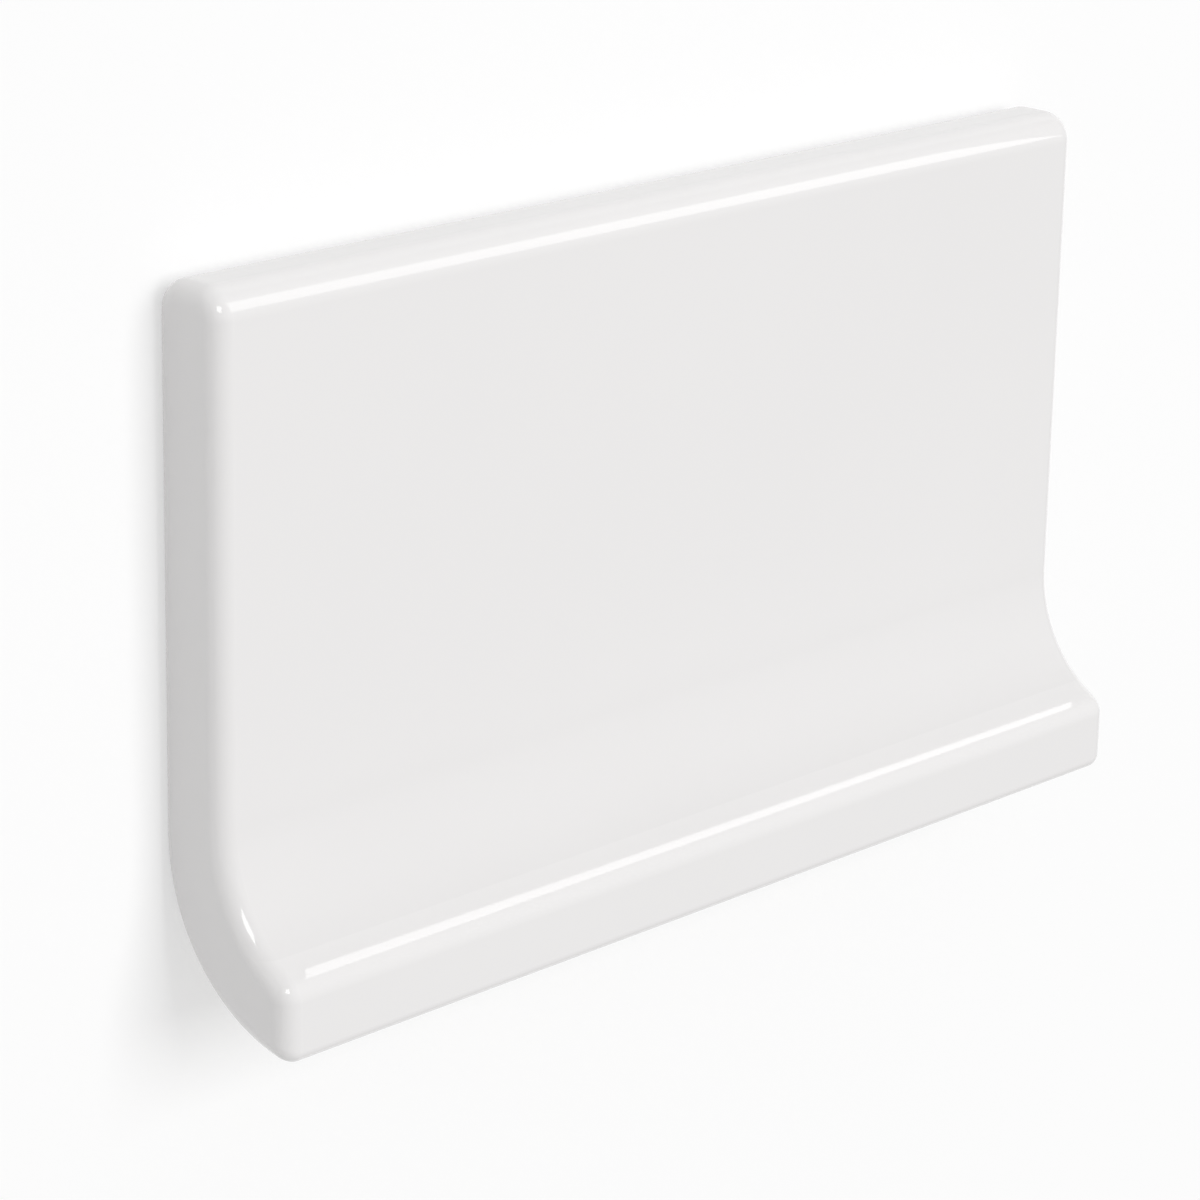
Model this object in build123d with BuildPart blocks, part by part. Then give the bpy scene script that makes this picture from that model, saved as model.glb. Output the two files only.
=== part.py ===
"""Cove base tile: a flat upright leg, a concave cove and a short sloping toe, pressed and fired as one piece.

The tile lies on its flat back. X runs along the wall, Y runs up the wall from the floor edge to the top edge,
and Z runs out of the wall. The origin is in the plane of the back, midway along the length and the height.
"""

import os
from math import cos, radians, sin, sqrt

from build123d import *

# Overall sizes, in millimetres
tile_length = 150.0
tile_height = 89.5
leg_thickness = 11.0
toe_reach = 22.0

# Toe on the front, with its sloping top as it is before its corner is rounded, and heel behind it
toe_corner_height = 9.2
toe_top_length = 3.4
toe_top_slope = 32.0
heel_radius = 23.0

# Roundings along the tile
top_front_rounding = 3.8
top_back_rounding = 3.8
toe_top_rounding = 3.0
toe_bottom_rounding = 1.5

# Rounding round each end
end_rounding = 2.5

# Keying grooves pressed into the back
groove_count = 6
groove_width = 5.0
groove_land = 4.0
groove_depth = 1.0
groove_draft = 30.0
groove_end_margin = 12.0

# The cove arc leaves the face of the leg and runs smoothly into the sloping top of the toe
slope = radians(toe_top_slope)
toe_top_inner = (toe_corner_height + toe_top_length * sin(slope), toe_reach - toe_top_length * cos(slope))
cove_radius = (toe_top_inner[1] - leg_thickness) / (1 - sin(slope))
cove_centre_height = toe_top_inner[0] + cove_radius * cos(slope)

# The heel arc leaves the back and sweeps under the toe, where the rounded corner just touches the floor
touch_depth = toe_reach - toe_bottom_rounding
touch_radius = heel_radius - toe_bottom_rounding
heel_centre_height = toe_bottom_rounding + sqrt(touch_radius**2 - (heel_radius - touch_depth) ** 2)
heel_end_height = heel_centre_height - sqrt(heel_radius**2 - (heel_radius - toe_reach) ** 2)

floor_edge = -tile_height / 2
top_edge = tile_height / 2

# The grooves share the flat of the back evenly, clear of the heel and of the rounded top edge
flat_bottom = floor_edge + heel_centre_height
flat_top = top_edge - top_back_rounding
groove_field_centre = (flat_bottom + flat_top) / 2
groove_pitch = groove_width + groove_land
groove_length = tile_length - 2 * groove_end_margin


def section_point(height, depth):
    """A point of the section: height above the floor, depth out from the back."""
    return (floor_edge + height, depth)


def long_edge(height, depth):
    """The edge that runs the length of the tile through a point of the section."""
    y, z = section_point(height, depth)
    return cove_tile.edges().filter_by(Axis.X).sort_by_distance((0, y, z))[0]


with BuildPart() as cove_tile:
    # The section is drawn with square corners and run the length of the tile
    with BuildSketch(Plane.YZ.offset(-tile_length / 2)) as section:
        with BuildLine() as outline:
            back = Line(section_point(heel_centre_height, 0), section_point(tile_height, 0))
            top = Line(back @ 1, section_point(tile_height, leg_thickness))
            face = Line(top @ 1, section_point(cove_centre_height, leg_thickness))
            cove = RadiusArc(face @ 1, section_point(*toe_top_inner), cove_radius)
            toe_top = Line(cove @ 1, section_point(toe_corner_height, toe_reach))
            toe = Line(toe_top @ 1, section_point(heel_end_height, toe_reach))
            heel = RadiusArc(toe @ 1, back @ 0, -heel_radius)
        make_face()
    extrude(amount=tile_length)

    # Roundings along the tile, then one round each end
    fillet(long_edge(tile_height, leg_thickness), radius=top_front_rounding)
    fillet(long_edge(tile_height, 0), radius=top_back_rounding)
    fillet(long_edge(toe_corner_height, toe_reach), radius=toe_top_rounding)
    fillet(long_edge(heel_end_height, toe_reach), radius=toe_bottom_rounding)
    end_faces = cove_tile.faces().filter_by(Axis.X).sort_by(Axis.X)
    fillet(end_faces[0].edges() + end_faces[-1].edges(), radius=end_rounding)

    # Keying grooves in the flat of the back, stopped short of both ends
    with BuildSketch(Plane.XY) as grooves:
        with Locations((0, groove_field_centre)):
            with GridLocations(groove_length, groove_pitch, 1, groove_count):
                SlotOverall(groove_length, groove_width)
    extrude(amount=groove_depth, taper=groove_draft, mode=Mode.SUBTRACT)

cove_tile.part.label = "cove_tile"

os.makedirs("parts", exist_ok=True)
export_step(cove_tile.part, "parts/cove_tile.step")
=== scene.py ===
"""Dresses a glazed ceramic cove base tile: its glaze and bisque, a pale floor, studio light and a camera.

Every length is in metres unless its name says otherwise. The tile lies on its flat back, with X along the wall,
Y up the wall and Z out of the wall.
"""

import math

import bpy
from mathutils import Matrix, Vector


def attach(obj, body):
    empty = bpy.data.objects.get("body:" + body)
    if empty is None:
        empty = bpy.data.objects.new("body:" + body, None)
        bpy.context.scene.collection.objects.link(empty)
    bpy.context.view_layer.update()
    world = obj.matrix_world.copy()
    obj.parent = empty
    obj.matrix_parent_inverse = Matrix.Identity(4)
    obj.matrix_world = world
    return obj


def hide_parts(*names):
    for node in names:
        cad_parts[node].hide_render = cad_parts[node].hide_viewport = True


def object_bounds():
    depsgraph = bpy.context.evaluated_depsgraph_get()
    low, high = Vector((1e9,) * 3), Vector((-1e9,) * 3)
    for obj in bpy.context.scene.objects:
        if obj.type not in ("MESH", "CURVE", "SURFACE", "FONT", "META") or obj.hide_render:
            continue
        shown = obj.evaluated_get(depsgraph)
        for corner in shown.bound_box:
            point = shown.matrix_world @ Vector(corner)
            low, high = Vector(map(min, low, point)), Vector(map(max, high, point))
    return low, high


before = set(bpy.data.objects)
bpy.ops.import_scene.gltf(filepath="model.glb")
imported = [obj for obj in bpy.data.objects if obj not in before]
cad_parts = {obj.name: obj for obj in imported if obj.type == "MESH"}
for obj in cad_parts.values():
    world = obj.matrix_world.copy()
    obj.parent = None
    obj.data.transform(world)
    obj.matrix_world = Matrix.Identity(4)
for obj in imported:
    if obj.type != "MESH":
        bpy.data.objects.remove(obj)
cad_low, cad_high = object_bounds()

bl_info = {
    "name": "Cove Base Tile",
    "version": (1, 0, 0),
    "blender": (4, 5, 0),
    "location": "3D View > Sidebar > Cove Tile",
    "description": "Glazes a cove base tile and sets it on a pale studio floor",
    "category": "Object",
}

TILE_NODE = "cove_tile"
MILLIMETRE = 0.001

# The tile's own sizes, measured from the frame where they can be
HALF_LENGTH = cad_high[0]
HALF_HEIGHT = cad_high[1]
COVE_RADIUS = 17.266 * MILLIMETRE
COVE_CENTRE = (-HALF_HEIGHT + 25.645 * MILLIMETRE, 28.266 * MILLIMETRE)
HOLLOW_FOOT = -HALF_HEIGHT + 11.765 * MILLIMETRE
HEEL_RADIUS = 23.0 * MILLIMETRE
HEEL_CENTRE = (-HALF_HEIGHT + 22.854 * MILLIMETRE, 23.0 * MILLIMETRE)

# Vertices closer than this are one, edges that turn by more stay sharp, as only the keying grooves' do, and large
# faces count for more in a vertex's normal
JOIN_DISTANCE = 0.002 * MILLIMETRE
SMOOTH_ANGLE = math.radians(30.0)
LARGE_FACE_WEIGHT = 90

# Bare clay: how high above the floor the back and its grooves reach, how near the heel's arc its surface is,
# and how the glaze line wanders
BACK_REACH = 1.2 * MILLIMETRE
HEEL_BAND = 0.4 * MILLIMETRE
LINE_WANDER = 0.9 * MILLIMETRE
LINE_WANDER_SIZE = 3.5 * MILLIMETRE
LINE_SOFTNESS = 0.17 * MILLIMETRE

# The painted shade in the hollow of the cove fades in off its arc and up its height, and ends in a crisp line at its
# foot, which leaves the ledge toward the toe as a lighter band standing in for a reflection
HOLLOW_OFF_ARC = (1.6 * MILLIMETRE, 0.4 * MILLIMETRE)
HOLLOW_HEIGHT = (5.0 * MILLIMETRE, -7.0 * MILLIMETRE)
HOLLOW_FOOT_SOFTNESS = 0.06 * MILLIMETRE

# How large the patterns of the glaze and of the clay are, and how deep their relief is
CLOUD_SIZE = 34 * MILLIMETRE
RIPPLE_SIZE = 16 * MILLIMETRE
PEEL_SIZE = 1.6 * MILLIMETRE
PEEL_HEIGHT = 0.0004 * MILLIMETRE
GRAIN_SIZE = 0.5 * MILLIMETRE
GRAIN_HEIGHT = 0.06 * MILLIMETRE
PATCH_SIZE = 18 * MILLIMETRE
SPECK_SIZE = 0.9 * MILLIMETRE
GLAZE_STEP = 0.12 * MILLIMETRE

# How far the patterns lighten, darken and roughen, as shares of the colour and as roughness
CLOUD_SHARES = (0.99, 1.01)
CLOUD_ROUGHNESS = 0.01
PATCH_SHARES = (0.93, 1.05)
SPECK_RANGE = (0.70, 0.76)
SPECK_SHARE = 0.55
CLAY_ROUGHNESS = (0.78, 0.94)
GLAZE_IOR = 1.5
WHITE = (1.0, 1.0, 1.0, 1.0)
BLACK = (0.0, 0.0, 0.0, 1.0)

# The key softbox and the low fill: where they are, how far and how large. Neither shows in the glaze
KEY_DIRECTION = Vector((0.12, 0.30, 1.0)).normalized()
KEY_DISTANCE = 4.0
KEY_SIDE = 2.4
FILL_PLACE = (0.0, 2.0, 0.2)
FILL_SIZE = (1.2, 0.4)

# Lamps that only show in the glaze: name, place, target, size, radiance and roll. The two strips are close to the
# edges that they light, and face away from the cove, so that they aren't mirrored there as well
HIGHLIGHTS = (
    ("edge_strip", (0.018, 0.0615, 0.0342), (0.018, 0.0645, 0.02466), (0.156, 0.030), 2.1, 0.0),
    ("toe_strip", (0.0036, -0.030, 0.0219), (0.0036, -0.035, 0.02185), (0.141, 0.0026), 2.6, -0.0035),
    ("corner_dot", (-0.306, 0.317, 0.358), (-0.073, 0.042, 0.011), (0.18, 0.18), 6.0, 0.0),
)
FLOOR_SIDE = 8.0


class CoveTileGlaze(bpy.types.PropertyGroup):
    """The gloss glaze on the face, the edges and the ends, and the painted shade in the hollow of its cove."""

    colour: bpy.props.FloatVectorProperty(
        name="Glaze colour", description="Colour of the fired glaze", subtype="COLOR",
        size=3, min=0.0, max=1.0, default=(0.861, 0.850, 0.847),
    )
    roughness: bpy.props.FloatProperty(
        name="Roughness", description="Roughness of the glaze on the flats and the rounded edges",
        subtype="FACTOR", min=0.0, max=1.0, default=0.07,
    )
    # Painted shade: the share of its colour that the glaze keeps in the hollow of the cove, darkened there to stand
    # in for shade, not for thicker glaze
    painted_hollow_shade: bpy.props.FloatProperty(
        name="Hollow shade", description="Share of its colour that the glaze keeps where it lies thick in the hollow",
        subtype="FACTOR", min=0.0, max=1.0, default=0.975,
    )
    ripple: bpy.props.FloatProperty(
        name="Ripple", description="Height of the long soft ripple in the glaze",
        subtype="DISTANCE", unit="LENGTH", default=0.012 * MILLIMETRE, precision=6,
    )


class CoveTileBisque(bpy.types.PropertyGroup):
    """The bare fired clay of the back and of the heel."""

    colour: bpy.props.FloatVectorProperty(
        name="Bisque colour", description="Colour of the bare fired clay", subtype="COLOR",
        size=3, min=0.0, max=1.0, default=(0.70, 0.655, 0.59),
    )
    glaze_lap: bpy.props.FloatProperty(
        name="Glaze lap", description="How far the glaze laps round onto the back",
        subtype="DISTANCE", unit="LENGTH", default=5.0 * MILLIMETRE,
    )
    heel_lap: bpy.props.FloatProperty(
        name="Heel lap", description="Height on the heel, from the back, where the glaze from the toe ends",
        subtype="DISTANCE", unit="LENGTH", default=12.0 * MILLIMETRE,
    )


class CoveTileStudio(bpy.types.PropertyGroup):
    """The camera, the floor and the lamps."""

    camera_place: bpy.props.FloatVectorProperty(
        name="Camera place", description="Where the camera stands",
        subtype="TRANSLATION", unit="LENGTH", size=3, default=(-0.37519, 0.16143, 0.36503),
    )
    camera_aim: bpy.props.FloatVectorProperty(
        name="Camera aim", description="The point on the floor behind the middle of the picture",
        subtype="TRANSLATION", unit="LENGTH", size=3, default=(-0.00261, -0.00926, 0.0),
    )
    camera_roll: bpy.props.FloatProperty(
        name="Camera roll", description="Turn of the camera about its own line of sight",
        subtype="ANGLE", unit="ROTATION", default=math.radians(1.136),
    )
    focal_length: bpy.props.FloatProperty(
        name="Focal length", description="Focal length in millimetres on a 36 mm sensor", default=129.98,
    )
    floor_colour: bpy.props.FloatVectorProperty(
        name="Floor colour", description="Colour of the floor", subtype="COLOR",
        size=3, min=0.0, max=1.0, default=(0.80, 0.80, 0.80),
    )
    shadow_depth: bpy.props.FloatProperty(
        name="Shadow depth", description="Share of the floor's white that a full shadow takes away",
        subtype="FACTOR", min=0.0, max=1.0, default=0.48,
    )
    sky_strength: bpy.props.FloatProperty(
        name="Sky strength", description="Strength of the even light from all round", default=0.50,
    )
    key_strength: bpy.props.FloatProperty(
        name="Key strength", description="Light that the key softbox throws on a surface that faces it",
        default=0.552,
    )
    fill_strength: bpy.props.FloatProperty(
        name="Fill strength", description="Light that the low fill throws on the top edge of the tile", default=0.26,
    )


class Shader:
    """A material's node tree with short ways to add and join nodes."""

    def __init__(self, name):
        self.material = bpy.data.materials.new(name)
        self.material.use_nodes = True
        self.tree = self.material.node_tree
        self.tree.nodes.clear()

    def node(self, kind, **settings):
        made = self.tree.nodes.new(kind)
        for key, value in settings.items():
            setattr(made, key, value)
        return made

    def set_input(self, socket, value):
        if isinstance(value, bpy.types.NodeSocket):
            self.tree.links.new(value, socket)
        else:
            socket.default_value = value

    def maths(self, operation, *values):
        made = self.node("ShaderNodeMath", operation=operation)
        for socket, value in zip(made.inputs, values):
            self.set_input(socket, value)
        return made.outputs[0]

    def ramp(self, value, low, high):
        """0 below low, 1 above high, smooth between."""
        made = self.node("ShaderNodeMapRange", interpolation_type="SMOOTHSTEP")
        self.set_input(made.inputs["Value"], value)
        made.inputs["From Min"].default_value = low
        made.inputs["From Max"].default_value = high
        return made.outputs["Result"]

    def step(self, value, limit):
        """0 below limit and 1 above, with a soft edge."""
        return self.ramp(value, limit - LINE_SOFTNESS, limit + LINE_SOFTNESS)

    def spread(self, value, low, high):
        """Takes 0 to 1 on to low to high."""
        made = self.node("ShaderNodeMapRange")
        self.set_input(made.inputs["Value"], value)
        self.set_input(made.inputs["To Min"], low)
        self.set_input(made.inputs["To Max"], high)
        return made.outputs["Result"]

    def noise(self, place, size, detail=2.0):
        """Noise whose features are about size across."""
        made = self.node("ShaderNodeTexNoise")
        self.set_input(made.inputs["Vector"], place)
        made.inputs["Scale"].default_value = 1.0 / size
        made.inputs["Detail"].default_value = detail
        return made.outputs["Fac"]

    def off_arc(self, y, z, centre, radius):
        """How far a place is off an arc of the section, and how far up from the arc's centre."""
        up = self.maths("SUBTRACT", y, centre[0])
        out = self.maths("SUBTRACT", z, centre[1])
        squares = self.maths("ADD", self.maths("POWER", up, 2.0), self.maths("POWER", out, 2.0))
        return self.maths("ABSOLUTE", self.maths("SUBTRACT", self.maths("SQRT", squares), radius)), up

    def mix_colour(self, factor, first, second):
        made = self.node("ShaderNodeMix", data_type="RGBA")
        self.set_input(made.inputs["Factor"], factor)
        colours = [socket for socket in made.inputs if socket.type == "RGBA"]
        self.set_input(colours[0], first)
        self.set_input(colours[1], second)
        return next(socket for socket in made.outputs if socket.type == "RGBA")


def opaque(colour, share=1.0):
    """The colour at a share of its brightness, as a node takes it."""
    return (*(min(1.0, part * share) for part in colour), 1.0)


def fired_clay_material(glaze, bisque):
    """Gloss white glaze with painted shade in the hollow of the cove, and bare bisque on the back and the heel inside
    the glaze line.
    """
    shader = Shader("gloss_glaze_on_bisque")
    place = shader.node("ShaderNodeTexCoord").outputs["Object"]
    axes = shader.node("ShaderNodeSeparateXYZ")
    shader.tree.links.new(place, axes.inputs[0])
    x, y, z = axes.outputs
    wander = shader.spread(shader.noise(place, LINE_WANDER_SIZE, detail=3.0), -LINE_WANDER, LINE_WANDER)

    # Bare clay: inside the glaze lap on the back, and on the heel below the glaze from the toe
    from_end = shader.maths("SUBTRACT", HALF_LENGTH, shader.maths("ABSOLUTE", x))
    inside_ends = shader.step(shader.maths("ADD", from_end, wander), bisque.glaze_lap)
    from_top = shader.maths("SUBTRACT", HALF_HEIGHT, y)
    below_top = shader.step(shader.maths("ADD", from_top, wander), bisque.glaze_lap)
    back_bare = shader.maths("MULTIPLY", shader.maths("LESS_THAN", z, BACK_REACH), below_top)
    below_toe = shader.step(shader.maths("SUBTRACT", bisque.heel_lap, shader.maths("ADD", z, wander)), 0.0)
    off_heel, up_heel = shader.off_arc(y, z, HEEL_CENTRE, HEEL_RADIUS)
    on_heel = shader.maths(
        "MULTIPLY", shader.maths("LESS_THAN", off_heel, HEEL_BAND), shader.maths("LESS_THAN", up_heel, 0.0)
    )
    heel_bare = shader.maths("MULTIPLY", on_heel, below_toe)
    bare = shader.maths("MULTIPLY", inside_ends, shader.maths("MAXIMUM", back_bare, heel_bare))

    # Glaze: a faint cloud in its colour and gloss, and painted shade in the hollow of the cove, where the colour is
    # darkened to stand in for shade up to a crisp line at its foot, leaving the ledge toward the toe as a lighter
    # band that stands in for a reflection
    cloud = shader.noise(place, CLOUD_SIZE, detail=3.0)
    glaze_colour = shader.mix_colour(cloud, *(opaque(glaze.colour, share) for share in CLOUD_SHARES))
    off_cove, up_cove = shader.off_arc(y, z, COVE_CENTRE, COVE_RADIUS)
    painted_shade_mask = shader.maths(
        "MULTIPLY", shader.ramp(off_cove, *HOLLOW_OFF_ARC), shader.ramp(up_cove, *HOLLOW_HEIGHT)
    )
    above_foot = shader.ramp(y, HOLLOW_FOOT - HOLLOW_FOOT_SOFTNESS, HOLLOW_FOOT + HOLLOW_FOOT_SOFTNESS)
    painted_shade_mask = shader.maths("MULTIPLY", painted_shade_mask, above_foot)
    # Painted shade: the glaze colour is darkened by this share inside the hollow mask
    shade = shader.spread(painted_shade_mask, 1.0, glaze.painted_hollow_shade)
    glaze_colour = shader.mix_colour(shade, BLACK, glaze_colour)
    gloss = shader.spread(cloud, glaze.roughness - CLOUD_ROUGHNESS, glaze.roughness + CLOUD_ROUGHNESS)

    # Bisque: a fine grain with scattered darker specks
    grain = shader.noise(place, GRAIN_SIZE, detail=4.0)
    patch = shader.noise(place, PATCH_SIZE, detail=3.0)
    bisque_colour = shader.mix_colour(patch, *(opaque(bisque.colour, share) for share in PATCH_SHARES))
    speck = shader.ramp(shader.noise(place, SPECK_SIZE, detail=1.0), *SPECK_RANGE)
    bisque_colour = shader.mix_colour(
        shader.maths("MULTIPLY", speck, SPECK_SHARE), bisque_colour, opaque(bisque.colour, SPECK_SHARE)
    )

    principled = shader.node("ShaderNodeBsdfPrincipled")
    shader.set_input(principled.inputs["Base Color"], shader.mix_colour(bare, glaze_colour, bisque_colour))
    clay_roughness = shader.spread(grain, *CLAY_ROUGHNESS)
    shader.set_input(principled.inputs["Roughness"], shader.spread(bare, gloss, clay_roughness))
    principled.inputs["IOR"].default_value = GLAZE_IOR

    # Relief: a long ripple and a fine orange peel in the glaze, a rough grain in the clay and the step between them
    ripple = shader.noise(place, RIPPLE_SIZE, detail=1.0)
    peel = shader.noise(place, PEEL_SIZE, detail=2.0)
    glaze_relief = shader.maths(
        "ADD", shader.maths("MULTIPLY", ripple, glaze.ripple), shader.maths("MULTIPLY", peel, PEEL_HEIGHT)
    )
    clay_relief = shader.maths("SUBTRACT", shader.maths("MULTIPLY", grain, GRAIN_HEIGHT), GLAZE_STEP)
    bump = shader.node("ShaderNodeBump")
    shader.set_input(bump.inputs["Height"], shader.spread(bare, glaze_relief, clay_relief))
    bump.inputs["Distance"].default_value = 1.0
    shader.tree.links.new(bump.outputs["Normal"], principled.inputs["Normal"])
    output = shader.node("ShaderNodeOutputMaterial")
    shader.tree.links.new(principled.outputs[0], output.inputs["Surface"])
    return shader.material


class COVETILE_OT_glaze_tile(bpy.types.Operator):
    """Makes the tile, smooth over its roundings, and gives it its glaze and its bisque back"""

    bl_idname = "cove_tile.glaze_tile"
    bl_label = "Glaze Tile"

    def execute(self, context):
        bpy.ops.object.select_all(action="DESELECT")
        tile = bpy.data.objects.new("glazed_tile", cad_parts[TILE_NODE].data.copy())
        context.collection.objects.link(tile)
        tile.select_set(True)
        context.view_layer.objects.active = tile

        # The triangles are joined, and each flat keeps its own normal up to the roundings that leave it
        bpy.ops.object.mode_set(mode="EDIT")
        bpy.ops.mesh.select_all(action="SELECT")
        bpy.ops.mesh.remove_doubles(threshold=JOIN_DISTANCE)
        bpy.ops.object.mode_set(mode="OBJECT")
        bpy.ops.object.shade_smooth_by_angle(angle=SMOOTH_ANGLE)
        bpy.ops.object.modifier_add(type="WEIGHTED_NORMAL")
        flats = tile.modifiers[-1]
        flats.keep_sharp = True
        flats.weight = LARGE_FACE_WEIGHT
        bpy.ops.object.modifier_apply(modifier=flats.name)

        material = fired_clay_material(context.scene.cove_tile_glaze, context.scene.cove_tile_bisque)
        tile.data.materials.clear()
        tile.data.materials.append(material)
        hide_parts(TILE_NODE)
        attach(tile, "root")
        return {"FINISHED"}


def white_floor_material(studio):
    """A floor that bounces light by its own colour, and looks white but for the shadow to the eye and the glaze."""
    shader = Shader("pale_floor")
    bounced = shader.node("ShaderNodeBsdfDiffuse")
    bounced.inputs["Color"].default_value = opaque(studio.floor_colour)
    seen = shader.node("ShaderNodeBsdfDiffuse")
    level = studio.sky_strength + studio.key_strength * KEY_DIRECTION.z
    shade = studio.shadow_depth / level
    seen.inputs["Color"].default_value = (shade, shade, shade, 1.0)
    glow = shader.node("ShaderNodeEmission")
    glow.inputs["Color"].default_value = WHITE
    glow.inputs["Strength"].default_value = 1.0 - studio.shadow_depth
    both = shader.node("ShaderNodeAddShader")
    shader.tree.links.new(seen.outputs[0], both.inputs[0])
    shader.tree.links.new(glow.outputs[0], both.inputs[1])
    rays = shader.node("ShaderNodeLightPath").outputs
    direct = shader.maths("MAXIMUM", rays["Is Camera Ray"], rays["Is Glossy Ray"])
    direct = shader.maths("MAXIMUM", direct, rays["Is Transmission Ray"])
    chosen = shader.node("ShaderNodeMixShader")
    shader.set_input(chosen.inputs["Fac"], direct)
    shader.tree.links.new(bounced.outputs[0], chosen.inputs[1])
    shader.tree.links.new(both.outputs[0], chosen.inputs[2])
    output = shader.node("ShaderNodeOutputMaterial")
    shader.tree.links.new(chosen.outputs[0], output.inputs["Surface"])
    return shader.material


def aim(obj, place, target, roll=0.0):
    """Stands obj at place, looking at target, with the tile's +Y as near up as it can be."""
    forward = (Vector(target) - Vector(place)).normalized()
    right = forward.cross(Vector((0.0, 1.0, 0.0))).normalized()
    up = right.cross(forward)
    turn = Matrix((right, up, -forward)).transposed().to_4x4()
    obj.matrix_world = Matrix.Translation(place) @ turn @ Matrix.Rotation(roll, 4, "Z")


def add_camera(studio):
    bpy.ops.object.camera_add()
    camera = bpy.context.object
    camera.name = "camera"
    camera.data.sensor_width = 36.0
    camera.data.lens = studio.focal_length
    camera.data.clip_start = 0.01
    camera.data.clip_end = 20.0
    aim(camera, studio.camera_place, studio.camera_aim, studio.camera_roll)
    bpy.context.scene.camera = camera


def add_panel(name, place, target, size, radiance, roll=0.0):
    """A flat lamp that glows with the same brightness all over, unseen by the camera."""
    bpy.ops.object.light_add(type="AREA")
    lamp = bpy.context.object
    lamp.name = name
    lamp.data.shape = "RECTANGLE"
    lamp.data.size = size[0]
    lamp.data.size_y = size[1]
    lamp.data.energy = radiance * size[0] * size[1] * math.pi
    lamp.visible_camera = False
    aim(lamp, place, target, roll)
    return lamp


class COVETILE_OT_set_stage(bpy.types.Operator):
    """Adds the floor, the lamps, the world and the camera"""

    bl_idname = "cove_tile.set_stage"
    bl_label = "Set Stage"

    def execute(self, context):
        studio = context.scene.cove_tile_studio
        add_camera(studio)
        bpy.ops.mesh.primitive_plane_add(size=FLOOR_SIDE)
        floor = bpy.context.object
        floor.name = "floor"
        floor.data.materials.append(white_floor_material(studio))
        world = bpy.data.worlds.new("even_light")
        context.scene.world = world
        world.use_nodes = True
        background = world.node_tree.nodes["Background"]
        background.inputs["Color"].default_value = WHITE
        background.inputs["Strength"].default_value = studio.sky_strength

        radiance = studio.key_strength * math.pi * KEY_DISTANCE**2 / KEY_SIDE**2
        key = add_panel("key_softbox", KEY_DIRECTION * KEY_DISTANCE, (0, 0, 0), (KEY_SIDE, KEY_SIDE), radiance)
        key.visible_glossy = False
        radiance = studio.fill_strength * FILL_PLACE[1] ** 2 / (FILL_SIZE[0] * FILL_SIZE[1])
        fill = add_panel("top_fill", FILL_PLACE, (0, 0, 0), FILL_SIZE, radiance)
        fill.visible_glossy = False
        for name, place, target, size, glow, roll in HIGHLIGHTS:
            add_panel(name, place, target, size, glow, roll).visible_diffuse = False
        context.scene.view_settings.view_transform = "Standard"
        return {"FINISHED"}


class COVETILE_PT_panel(bpy.types.Panel):
    """Lists the steps and the sizes and colours that can be changed"""

    bl_idname = "COVETILE_PT_panel"
    bl_label = "Cove Tile"
    bl_space_type = "VIEW_3D"
    bl_region_type = "UI"
    bl_category = "Cove Tile"

    def draw(self, context):
        scene = context.scene
        column = self.layout.column(align=True)
        for step in STEPS:
            column.operator(step.bl_idname)
        for group in (scene.cove_tile_glaze, scene.cove_tile_bisque, scene.cove_tile_studio):
            box = self.layout.box()
            for name in group.__annotations__:
                box.prop(group, name)


STEPS = (COVETILE_OT_glaze_tile, COVETILE_OT_set_stage)
GROUPS = {
    "cove_tile_glaze": CoveTileGlaze,
    "cove_tile_bisque": CoveTileBisque,
    "cove_tile_studio": CoveTileStudio,
}
CLASSES = (*GROUPS.values(), *STEPS, COVETILE_PT_panel)


def register():
    for cls in CLASSES:
        bpy.utils.register_class(cls)
    for name, group in GROUPS.items():
        setattr(bpy.types.Scene, name, bpy.props.PointerProperty(type=group))


def unregister():
    for name in GROUPS:
        delattr(bpy.types.Scene, name)
    for cls in reversed(CLASSES):
        bpy.utils.unregister_class(cls)


def main():
    register()
    bpy.ops.object.select_all(action="DESELECT")
    bpy.ops.cove_tile.glaze_tile()
    bpy.ops.cove_tile.set_stage()


if __name__ == "__main__":
    main()
